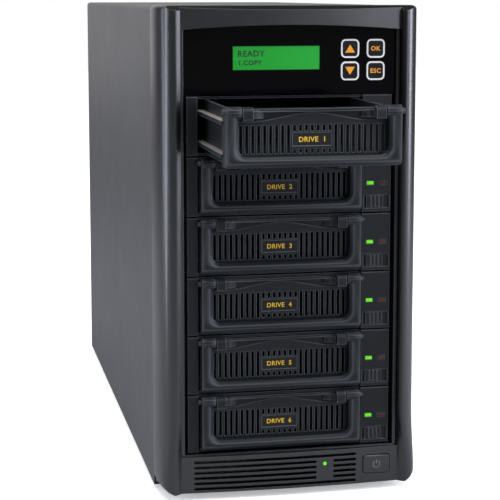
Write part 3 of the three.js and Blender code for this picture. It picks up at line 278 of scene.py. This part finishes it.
def polished_acrylic(name):
    """Black acrylic sheet: deep black with a hard even gloss and the faintest dust."""
    material, tree = finish(name)
    close(tree, add(tree, "ShaderNodeBsdfPrincipled", {
        "Base Color": mottle(tree, "#040405", "#070708", 40 * MM),
        "Roughness": gloss_range(tree, 0.06, 0.12, 30 * MM),
        "Specular IOR Level": 0.16,
        "IOR": 1.49,
        "Normal": grain(tree, 9 * MM, 0.004 * MM, 0.3 * MM),
    }))
    return material


def display_glass():
    """The lower left and upper right corner of the lit window, from the display board's own box."""
    low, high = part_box("display_board")
    left, top = low.x + DISPLAY_BORDER, high.z - DISPLAY_BORDER
    return Vector((left, low.y, top - DISPLAY_HEIGHT)), Vector((left + DISPLAY_WIDTH, low.y, top))


def lit_display(name):
    """Backlit character display: green film that is a little brighter to the right, on a circuit board."""
    material, tree = finish(name)
    parts = parts_of(tree, place_of(tree))
    low, high = display_glass()
    drift = add(tree, "ShaderNodeMapRange", {"Value": parts["X"], "From Min": low.x, "From Max": high.x,
                                             "To Min": 0.0, "To Max": 1.0})
    film = blend(tree, drift.outputs["Result"], "#0f8724", "#13922b")
    front = reckon(tree, "LESS_THAN", parts["Y"], low.y + DISPLAY_DEPTH)
    colour = blend(tree, front, "#1c5230", film)
    close(tree, add(tree, "ShaderNodeBsdfPrincipled", {
        "Base Color": colour,
        "Roughness": gloss_range(tree, 0.22, 0.3, 20 * MM),
        "Emission Color": colour,
        "Emission Strength": reckon(tree, "MULTIPLY", front, DISPLAY_GLOW),
        "Normal": grain(tree, 2 * MM, 0.004 * MM, 0.1 * MM),
    }))
    return material


def light_pipe(name, split, lit, dark):
    """Clear acrylic light pipe: what lies left of the split glows, and what lies right of it is unlit."""
    material, tree = finish(name)
    place = place_of(tree)
    right = reckon(tree, "GREATER_THAN", parts_of(tree, place)["X"], split)
    left = reckon(tree, "SUBTRACT", 1.0, right)
    level = reckon(tree, "ADD", noise(tree, place, 3 * MM), LENS_GLOW)
    colour = blend(tree, right, lit, dark)
    close(tree, add(tree, "ShaderNodeBsdfPrincipled", {
        "Base Color": colour,
        "Roughness": 0.18,
        "IOR": 1.49,
        "Emission Color": colour,
        "Emission Strength": reckon(tree, "MULTIPLY", left, level),
        "Normal": grain(tree, 1 * MM, 0.01 * MM, 0.2 * MM),
    }))
    return material


def solder_mask(name):
    """Glass-fibre circuit board under green solder mask, with the traces below it showing faintly."""
    material, tree = finish(name)
    trace = add(tree, "ShaderNodeTexVoronoi", {"Vector": place_of(tree), "Scale": 1 / (4 * MM)},
                distance="MANHATTAN", feature="DISTANCE_TO_EDGE")
    line = add(tree, "ShaderNodeMapRange", {"Value": trace.outputs["Distance"], "From Max": 0.08})
    close(tree, add(tree, "ShaderNodeBsdfPrincipled", {
        "Base Color": blend(tree, line.outputs["Result"], "#2c7a45", "#174427"),
        "Roughness": gloss_range(tree, 0.28, 0.4, 10 * MM),
        "Normal": grain(tree, 0.6 * MM, 0.01 * MM, 0.1 * MM),
    }))
    return material


def moulded_rubber(name):
    """Moulded rubber foot: dull black with a dusty grey bloom."""
    material, tree = finish(name)
    close(tree, add(tree, "ShaderNodeBsdfPrincipled", {
        "Base Color": mottle(tree, "#131313", "#232323", 6 * MM),
        "Roughness": gloss_range(tree, 0.75, 0.92, 5 * MM),
        "Specular IOR Level": 0.3,
        "Normal": grain(tree, 0.5 * MM, 0.04 * MM, 0.4 * MM),
    }))
    return material


def screen_ink(name, code):
    """Screen-printed ink: flat colour, slightly raised, a little thin where the mesh stood."""
    material, tree = finish(name)
    mesh = noise(tree, place_of(tree), 0.7 * MM)
    cover = add(tree, "ShaderNodeMapRange", {"Value": mesh, "To Min": 0.86, "To Max": 1.0})
    close(tree, add(tree, "ShaderNodeBsdfPrincipled", {
        "Base Color": blend(tree, cover.outputs["Result"], "#3a3a3a", code),
        "Roughness": 0.5,
        "Normal": grain(tree, 0.5 * MM, 0.005 * MM, 0.05 * MM),
    }))
    return material


def inlet_nylon(name):
    """Nylon inlet whose three blade pins, inside the recess, are nickel-plated brass."""
    material, tree = finish(name)
    across, up, inward = 8.3 * MM, 4.3 * MM, 2.0 * MM
    low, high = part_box("mains_inlet")
    middle = (low + high) / 2
    centred = add(tree, "ShaderNodeMapping", {"Vector": place_of(tree), "Location": tuple(-middle)})
    parts = parts_of(tree, centred.outputs["Vector"])
    beside = reckon(tree, "LESS_THAN", reckon(tree, "ABSOLUTE", parts["X"]), across)
    between = reckon(tree, "LESS_THAN", reckon(tree, "ABSOLUTE", parts["Z"]), up)
    within = reckon(tree, "GREATER_THAN", parts["Y"], inward - middle.y + low.y)
    pin = reckon(tree, "MULTIPLY", reckon(tree, "MULTIPLY", beside, between), within)
    close(tree, add(tree, "ShaderNodeBsdfPrincipled", {
        "Base Color": blend(tree, pin, "#17181a", "#c9c5b4"),
        "Metallic": pin,
        "Roughness": gloss_range(tree, 0.32, 0.45, 8 * MM),
        "Normal": grain(tree, 0.6 * MM, 0.01 * MM, 0.2 * MM),
    }))
    return material


cover_coat = powder_coat("powder_coated_steel")
bezel_abs = moulded_abs("bezel_moulded_abs", "#0f1013", "#131417", rough=0.3, level=0.7, pebble=1.1 * MM,
                        depth=0.07 * MM, rounding=0.6 * MM)
# The racks' plastic gets a pale painted highlight along its edges.
rack_abs = moulded_abs("rack_moulded_abs", "#1a1d20", "#1f2225", rough=0.34, level=0.16, pebble=0.8 * MM,
                       depth=0.015 * MM, rounding=0.4 * MM, highlight_tone="#7a7d82")
key_abs = moulded_abs("key_moulded_abs", "#050506", "#09090a", rough=0.35, level=0.2, pebble=0.6 * MM,
                      depth=0.008 * MM, rounding=0.4 * MM)
zinc = zinc_sheet("zinc_plated_steel")
# The runners' steel is pale and mostly matt: a painted highlight for the light along the rib tops.
runner_steel = zinc_sheet("runner_steel_painted_highlight", "#a59e92", "#c4bcae", 0.3)
acrylic = polished_acrylic("black_acrylic")
display = lit_display("backlit_display")
board = solder_mask("green_solder_mask")
rubber = moulded_rubber("moulded_rubber")
white_ink = screen_ink("white_screen_ink", "#ececee")
amber_ink = screen_ink("amber_screen_ink", "#f5a300")
label_ink = screen_ink("amber_label_ink", "#efbe00")
display_ink = screen_ink("display_segments", "#02300b")
grey_ink = screen_ink("grey_pad_ink", "#77797e")
pipe_low, pipe_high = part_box("light_pipe_1")
pipe_acrylic = light_pipe("light_pipe_acrylic", (pipe_low.x + pipe_high.x) / 2, "#58c416", "#3c080c")
# The power lamp is lit as a whole: its split lies a metre away, far right of it.
lamp_acrylic = light_pipe("power_lamp_acrylic", 1.0, "#5fe02a", "#4a0c10")
nylon = inlet_nylon("moulded_nylon_inlet")

FINISHES = {
    "outer_cover": cover_coat, "rear_panel": cover_coat, "base_pan": zinc, "drive_cage": zinc, "power_supply": zinc,
    "front_bezel": bezel_abs, "power_button": bezel_abs, "control_panel": acrylic, "display_board": display,
    "controller_board": board, "power_light": lamp_acrylic, "mains_inlet": nylon, "mains_switch": rack_abs,
    "rear_fan_frame": rack_abs, "rear_fan_rotor": rack_abs, "supply_fan_rotor": rack_abs,
}
FAMILIES = {"key": key_abs, "foot": rubber, "rack_sleeve": rack_abs, "rack_board": board,
            "light_pipe": pipe_acrylic, "lock_knob": rack_abs, "tray": rack_abs, "handle": rack_abs}


def paint(piece, material):
    """Gives a piece one material in place of any that it had."""
    piece.data.materials.clear()
    piece.data.materials.append(material)


def finish_of(name):
    """A solid's material, by its own name or by its family's."""
    if name in FINISHES:
        return FINISHES[name]
    return next(material for family, material in FAMILIES.items() if name.startswith(family + "_"))


for name, node in nodes.items():
    paint(node, finish_of(name))


# New pieces

def piece_of(bm, name, material, body, turn=None):
    """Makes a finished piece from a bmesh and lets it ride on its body."""
    mesh = bpy.data.meshes.new(name)
    if turn is not None:
        bmesh.ops.transform(bm, matrix=turn, verts=bm.verts)
    bm.to_mesh(mesh)
    bm.free()
    piece = bpy.data.objects.new(name, mesh)
    bpy.context.scene.collection.objects.link(piece)
    paint(piece, material)
    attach(piece, body)
    return piece


def body_of(name):
    """The body that a solid moves with."""
    return nodes[name]["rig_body"]


def share_kept(out, ahead, height):
    """Where a point of a column ends across the column's width, as a share of it.

    out is where it stands now, from 0 at the column's inner line to 1 at its outer side. ahead runs from 0 at the
    cover's seam to 1 at the front. The column sweeps back in one long curve, in place of the solid's own tight
    corner. At the foot, where it runs into the chin, it keeps more of its width and rounds off near the front."""
    corner = max(0.0, (ahead - CORNER_START) / (1 - CORNER_START))
    skin = 1 - CORNER_DROP * (1 - math.sqrt(1 - corner * corner))
    curve = (1 - ahead ** SWEEP_FULLNESS) ** (1 / SWEEP_FULLNESS)
    full = min(1.0, out / skin) ** (1 + FRONT_FLATTENING * ahead ** FLATTENING_ONSET) * curve
    soft = out * (1 - FOOT_SHARE * (1 - (1 - ahead ** FOOT_POWER) ** (1 / FOOT_POWER)))
    rise = min(1.0, max(0.0, (height - CHIN_FOOT) / (CHIN_TOP - CHIN_FOOT)))
    return soft + (full - soft) * rise * rise * (3 - 2 * rise)


def swept_back(bm):
    """Sweeps both of the bezel's columns back, after cutting them finely enough to bend."""
    low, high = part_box("front_bezel")
    middle, half, depth = (low.x + high.x) / 2, (high.x - low.x) / 2, high.y - low.y
    levels = [CHIN_FOOT + (CHIN_TOP - CHIN_FOOT) * i / CHIN_CUTS for i in range(CHIN_CUTS + 1)]
    planes = [((middle, high.y - depth * i / SWEEP_CUTS, 0), (0, 1, 0)) for i in range(1, SWEEP_CUTS)]
    planes += [((middle, 0, level), (0, 0, 1)) for level in levels]
    for point, normal in planes:
        bmesh.ops.bisect_plane(bm, geom=bm.verts[:] + bm.edges[:] + bm.faces[:], plane_co=point, plane_no=normal,
                               dist=CUT_SNAP)
    for v in bm.verts:
        out = (abs(v.co.x - middle) - (half - SWEEP_WIDTH)) / SWEEP_WIDTH
        if out > 0:
            ahead = min(1.0, max(0.0, (high.y - v.co.y) / depth))
            reach = half - SWEEP_WIDTH + SWEEP_WIDTH * share_kept(out, ahead, v.co.z)
            v.co.x = middle + math.copysign(reach, v.co.x - middle)


def rounded_copy(name, round_over):
    """Shows a solid by a copy with its curves shaded smooth, and its sharp edges rounded over if asked."""
    bm = bmesh.new()
    bm.from_mesh(nodes[name].data)
    bmesh.ops.remove_doubles(bm, verts=bm.verts, dist=WELD)
    bmesh.ops.dissolve_limit(bm, angle_limit=FLAT, verts=bm.verts, edges=bm.edges)
    if name == "front_bezel":
        swept_back(bm)
    if round_over:
        edges = [e for e in bm.edges if len(e.link_faces) == 2 and e.calc_face_angle() > SHARP]
        bmesh.ops.bevel(bm, geom=edges, offset=round_over, segments=2, profile=0.5, affect="EDGES",
                        clamp_overlap=True, material=-1)
    for face in bm.faces:
        face.smooth = True
    for edge in bm.edges:
        edge.smooth = len(edge.link_faces) == 2 and edge.calc_face_angle() < SHARP
    piece = piece_of(bm, name + "_rounded", finish_of(name), body_of(name))
    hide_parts(name)


CURVED = ["front_bezel", "power_button", "power_light", "rear_fan_frame", "rear_fan_rotor", "supply_fan_rotor",
          "outer_cover", "key_up", "key_down", "key_ok", "key_esc", *(n for n in nodes if n.startswith("foot_")),
          *(f"handle_{i}" for i in RACKS), *(f"tray_{i}" for i in RACKS)]
for name in CURVED:
    rounded_copy(name, HANDLE_ROUNDING if name.startswith("handle_") else 0.0)


# Printing and screws are made lying on the XY plane, then turned to face the front or the back.
FRONTWARD = Matrix.Rotation(math.radians(90), 4, "X")
BACKWARD = Matrix.Rotation(math.radians(180), 4, "Z") @ FRONTWARD


def extent(bm):
    """The lower and the upper corner of a bmesh."""
    places = [v.co for v in bm.verts]
    return tuple(Vector([pick(place[i] for place in places) for i in range(3)]) for pick in (min, max))


def lettering(name, words, cap, weight, centre, facing, material, body):
    """Printed words of the given capital height, centred on a point of the face that they lie on."""
    cap_share, wider_gap = 0.7, 3
    curve = bpy.data.curves.new(name + "_curve", "FONT")
    curve.body = words
    curve.size = cap / cap_share
    curve.offset = weight
    curve.space_character = 1.0 + wider_gap * weight / cap
    curve.extrude = INK / 2
    curve.resolution_u = 3
    maker = bpy.data.objects.new(name + "_maker", curve)
    bpy.context.scene.collection.objects.link(maker)
    mesh = bpy.data.meshes.new_from_object(maker.evaluated_get(bpy.context.evaluated_depsgraph_get()))
    bpy.data.objects.remove(maker)
    bm = bmesh.new()
    bm.from_mesh(mesh)
    bpy.data.meshes.remove(mesh)
    low, high = extent(bm)
    middle = (low + high) / 2
    turn = Matrix.Translation(centre) @ facing @ Matrix.Translation(Vector((-middle.x, -middle.y, -low.z)))
    piece_of(bm, name, material, body, turn)


def thickened(bm):
    """A flat bmesh drawn in the XY plane, made one ink layer thick."""
    raised = bmesh.ops.extrude_face_region(bm, geom=bm.faces[:])
    bmesh.ops.translate(bm, vec=(0, 0, INK), verts=[g for g in raised["geom"] if isinstance(g, bmesh.types.BMVert)])
    bmesh.ops.recalc_face_normals(bm, faces=bm.faces)
    return bm


def outline_ring(size, radius, width):
    """A flat ring round a rounded square."""
    bm = bmesh.new()
    bmesh.ops.create_grid(bm, x_segments=1, y_segments=1, size=size / 2)
    bmesh.ops.bevel(bm, geom=bm.verts[:], offset=radius, segments=8, profile=0.5, affect="VERTICES")
    middle = bm.faces[:]
    bmesh.ops.inset_region(bm, faces=middle, thickness=width, use_even_offset=True, use_boundary=True)
    bmesh.ops.delete(bm, geom=middle, context="FACES")
    return thickened(bm)


def arrow_head(half, height, up):
    """A flat triangle that points up or down."""
    bm = bmesh.new()
    bmesh.ops.create_circle(bm, cap_ends=True, segments=3, radius=1)
    low, high = extent(bm)
    middle, reach = (low + high) / 2, high - low
    tip = max(bm.verts, key=lambda v: abs(v.co.y - middle.y)).co.y
    turned = 1 if (tip > middle.y) == up else -1
    bmesh.ops.translate(bm, vec=-middle, verts=bm.verts)
    bmesh.ops.scale(bm, vec=(2 * half / reach.x, turned * height / reach.y, 1), verts=bm.verts)
    return thickened(bm)


def key_printing():
    """White outlines with amber arrows and words on the four keys."""
    for key, words in {"key_up": None, "key_down": None, "key_ok": "OK", "key_esc": "ESC"}.items():
        low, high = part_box(key)
        middle = (low + high) / 2
        face = Vector((middle.x, low.y, middle.z))
        place = Matrix.Translation(face) @ FRONTWARD
        ring = outline_ring(size=13.2 * MM, radius=3.3 * MM, width=1.15 * MM)
        piece_of(ring, key + "_outline", white_ink, body_of(key), place)
        if words:
            lettering(key + "_word", words, 3.1 * MM, 0.11 * MM, face, FRONTWARD, amber_ink, body_of(key))
        else:
            arrow = arrow_head(half=3.5 * MM, height=5.7 * MM, up=key == "key_up")
            piece_of(arrow, key + "_arrow", amber_ink, body_of(key), place)


def display_words():
    """Two lines of dark characters on the lit display."""
    low, high = display_glass()
    for name, words, cap, across, down in (("display_line_1", "READY", 4.0 * MM, 13.0 * MM, 5.0 * MM),
                                           ("display_line_2", "1.COPY", 3.2 * MM, 12.4 * MM, 11.4 * MM)):
        centre = Vector((low.x + across, low.y, high.z - down))
        lettering(name, words, cap, 0.15 * MM, centre, FRONTWARD, display_ink, "cabinet")


def tray_details():
    """A printed drive number on each tray's plate, and steel runners on its guide ribs whose pale tone is a painted
    highlight.
    """
    plate_back, plate_up = 9.7 * MM, 17.2 * MM
    ribs_up, rib_out = (29.6 * MM, 8.2 * MM), 56.5 * MM
    runner_width, runner_height = 4.6 * MM, 0.12 * MM
    front_gap, back_gap = 13.2 * MM, 11 * MM
    for i in RACKS:
        tray = f"tray_{i}"
        low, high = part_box(tray)
        middle = (low.x + high.x) / 2
        plate = Vector((middle, low.y + plate_back, low.z + plate_up))
        lettering(f"drive_number_{i}", f"DRIVE  {i}", 3.2 * MM, 0.08 * MM, plate, FRONTWARD, label_ink,
                  body_of(tray))
        start, end = low.y + front_gap, high.y - back_gap
        size = Vector((runner_width, end - start, runner_height))
        bm = bmesh.new()
        for side in (-1, 1):
            for rib_up in ribs_up:
                centre = Vector((middle + side * rib_out, (start + end) / 2, low.z + rib_up + size.z / 2))
                bmesh.ops.create_cube(bm, size=1, matrix=Matrix.Translation(centre) @ Matrix.Diagonal((*size, 1)))
        bmesh.ops.bevel(bm, geom=bm.edges[:], offset=0.05 * MM, segments=1, affect="EDGES")
        piece_of(bm, f"tray_runners_{i}", runner_steel, body_of(tray))


def power_symbol():
    """The usual power mark, printed in grey on the power button: an open ring with a bar."""
    line, radius = 0.5 * MM, 2.5 * MM
    ring_start, ring_sweep = math.radians(125), math.radians(290)
    bar_up, bar_length = 2.0 * MM, 3.0 * MM
    low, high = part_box("power_button")
    centre = Vector(((low.x + high.x) / 2, low.y, (low.z + high.z) / 2))
    bm = bmesh.new()
    section = bmesh.ops.create_grid(bm, x_segments=1, y_segments=1, size=line / 2)["verts"]
    bmesh.ops.scale(bm, vec=(1, INK / line, 1), verts=section)
    bmesh.ops.rotate(bm, matrix=Matrix.Rotation(math.radians(90), 3, "X"), verts=section)
    bmesh.ops.translate(bm, vec=(radius, 0, INK / 2), verts=section)
    bmesh.ops.rotate(bm, matrix=Matrix.Rotation(ring_start, 3, "Z"), verts=section)
    bmesh.ops.spin(bm, geom=bm.faces[:], axis=(0, 0, 1), angle=ring_sweep, steps=28)
    bmesh.ops.create_cube(bm, size=1, matrix=Matrix.Translation((0, bar_up, INK / 2))
                          @ Matrix.Diagonal((line, bar_length, INK, 1)))
    bmesh.ops.recalc_face_normals(bm, faces=bm.faces)
    piece_of(bm, "power_symbol", grey_ink, body_of("power_button"),
             Matrix.Translation(centre) @ FRONTWARD)


def screw(name, centre, body):
    """A pan-head screw facing the back, with a dark cross laid on its head as painted shade for its recess."""
    head, height, rounding = 3.3 * MM, 1.6 * MM, 0.9 * MM
    cross_long, cross_wide, cross_thick = 3.2 * MM, 0.8 * MM, 0.04 * MM
    bm = bmesh.new()
    bmesh.ops.create_cone(bm, cap_ends=True, segments=24, radius1=head, radius2=head, depth=height,
                          matrix=Matrix.Translation((0, 0, height / 2)))
    rim = [e for e in bm.edges if all(v.co.z > height / 2 for v in e.verts)]
    bmesh.ops.bevel(bm, geom=rim, offset=rounding, segments=4, affect="EDGES")
    piece = piece_of(bm, name, zinc, body, Matrix.Translation(centre) @ BACKWARD)
    for polygon in piece.data.polygons:
        polygon.use_smooth = True
    # The cross is a thin dark sheet on the head: painted shade for the recess.
    cross = bmesh.new()
    for size in ((cross_wide, cross_long), (cross_long, cross_wide)):
        bmesh.ops.create_cube(cross, size=1, matrix=Matrix.Translation((0, 0, height))
                              @ Matrix.Diagonal((*size, cross_thick, 1)))
    piece_of(cross, name + "_painted_recess_shade", rack_abs, body, Matrix.Translation(centre) @ BACKWARD)


def corners(low, high, inset, back):
    """Four spots on the plane Y = back, set in from the corners of a box."""
    return [(x, back, z) for x in (low.x + inset, high.x - inset) for z in (low.z + inset, high.z - inset)]


def rear_details():
    """Screws at the corners of the power supply and of the fan, and the marks above and below the mains switch."""
    mark_cap, mark_gap = 3.4 * MM, 4.6 * MM
    supply_low, supply_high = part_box("power_supply")
    fan_low, fan_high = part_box("rear_fan_frame")
    spots = corners(supply_low, supply_high, 6 * MM, supply_high.y)
    spots += corners(fan_low, fan_high, 4.75 * MM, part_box("rear_panel")[1].y)
    for i, spot in enumerate(spots):
        screw(f"rear_screw_{i + 1}", Vector(spot), "cabinet")
    switch_low, switch_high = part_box("mains_switch")
    middle = (switch_low.x + switch_high.x) / 2
    for mark, word, z in (("on", "I", switch_high.z + mark_gap), ("off", "O", switch_low.z - mark_gap)):
        lettering(f"switch_mark_{mark}", word, mark_cap, 0.0, Vector((middle, supply_high.y, z)), BACKWARD, key_abs,
                  "cabinet")


key_printing()
display_words()
tray_details()
power_symbol()
rear_details()


# Floor, light and camera

def kinds_of_ray(tree):
    """Whether a ray is the camera's own, straight or through something clear, and whether it is one of gloss."""
    ray = add(tree, "ShaderNodeLightPath")
    seen = reckon(tree, "MAXIMUM", ray.outputs["Is Camera Ray"], ray.outputs["Is Transmission Ray"])
    return seen, ray.outputs["Is Glossy Ray"]


def floor():
    """A pale floor that is white to the camera and keeps the soft shadow."""
    bm = bmesh.new()
    bmesh.ops.create_grid(bm, x_segments=1, y_segments=1, size=FLOOR_HALF)
    mesh = bpy.data.meshes.new("floor")
    bm.to_mesh(mesh)
    bm.free()
    sheet = bpy.data.objects.new("floor", mesh)
    bpy.context.scene.collection.objects.link(sheet)
    material, tree = finish("pale_paper_floor")
    seen, gloss = kinds_of_ray(tree)
    tone = blend(tree, seen, blend(tree, gloss, FLOOR_BOUNCE, FLOOR_GLOSS), WHITE)
    matt = add(tree, "ShaderNodeBsdfDiffuse", {"Color": tone})
    away = add(tree, "ShaderNodeVectorMath", {0: place_of(tree)}, operation="LENGTH")
    fade = add(tree, "ShaderNodeMapRange", {"Value": away.outputs["Value"], "From Min": FLOOR_NEAR,
                                            "From Max": FLOOR_FAR, "To Min": FLOOR_LIFT, "To Max": FLOOR_LIFT_FAR})
    lift = reckon(tree, "MULTIPLY", seen, fade.outputs["Result"])
    glow = add(tree, "ShaderNodeEmission", {"Color": WHITE, "Strength": lift})
    close(tree, add(tree, "ShaderNodeAddShader", {0: matt.outputs[0], 1: glow.outputs[0]}))
    paint(sheet, material)


def world():
    """A pale room: white where it is seen, and in gloss bright behind, dim in front and dark at the sides."""
    room = bpy.data.worlds.new("pale_room")
    room.use_nodes = True
    tree = room.node_tree
    tree.nodes.clear()
    direction = parts_of(tree, add(tree, "ShaderNodeTexCoord").outputs["Generated"])
    across = add(tree, "ShaderNodeMapRange", {"Value": direction["Y"], "From Min": -1.0, "From Max": 1.0})
    shade = add(tree, "ShaderNodeValToRGB", {"Fac": across.outputs["Result"]})
    shade.color_ramp.interpolation = "EASE"
    stops = shade.color_ramp.elements
    while len(stops) < len(ROOM_GLOSS):
        stops.new(0.5)
    for stop, (depth, level) in zip(stops, ROOM_GLOSS):
        stop.position = (depth + 1) / 2
        stop.color = (level, level, level, 1)
    seen, gloss = kinds_of_ray(tree)
    tone = blend(tree, seen, blend(tree, gloss, ROOM_FILL, shade.outputs["Color"]), WHITE)
    back = add(tree, "ShaderNodeBackground", {"Color": tone, "Strength": 1.0})
    out = add(tree, "ShaderNodeOutputWorld")
    tree.links.new(back.outputs[0], out.inputs["Surface"])
    bpy.context.scene.world = room


def softbox(name, place, aim, width, height, watts, tint=(1, 1, 1)):
    """A rectangular lamp aimed at a point, which the camera doesn't see."""
    lamp = bpy.data.lights.new(name, "AREA")
    lamp.shape = "RECTANGLE"
    lamp.size, lamp.size_y, lamp.energy, lamp.color = width, height, watts, tint
    holder = bpy.data.objects.new(name, lamp)
    holder.location = place
    holder.rotation_euler = (Vector(aim) - Vector(place)).to_track_quat("-Z", "Y").to_euler()
    holder.visible_camera = False
    bpy.context.scene.collection.objects.link(holder)


floor()
world()
softbox("left_side_softbox", (-1.64, 0.08, 0.62), (-0.09, -0.15, 0.2), 0.6, 1.2, 15, COOL)
softbox("right_side_softbox", (1.55, -0.42, 0.62), (0.09, -0.15, 0.2), 0.6, 1.2, 24, COOL)
softbox("front_right_softbox", (0.91, -1.4, 0.75), (0.06, -0.19, 0.2), 0.8, 1.2, 13, (0.86, 0.9, 1.0))
softbox("back_left_softbox", (-0.6, 0.6, 1.5), (-0.1, 0.15, 0.35), 0.8, 0.8, 7)
softbox("top_softbox", (0, -0.9, 1.7), (0, -0.1, 0.2), 1.4, 0.8, 17)

camera = bpy.data.objects.new("camera", bpy.data.cameras.new("camera"))
camera.data.sensor_width = SENSOR_WIDTH
camera.data.lens = FOCAL_PIXELS / PICTURE_WIDTH * SENSOR_WIDTH
camera.data.shift_y = CAMERA_SHIFT
camera.location = CAMERA_PLACE
camera.rotation_euler = (math.radians(90 - CAMERA_PITCH), 0, math.radians(-CAMERA_YAW))
bpy.context.scene.collection.objects.link(camera)
bpy.context.scene.camera = camera
bpy.context.scene.view_settings.view_transform = "Standard"
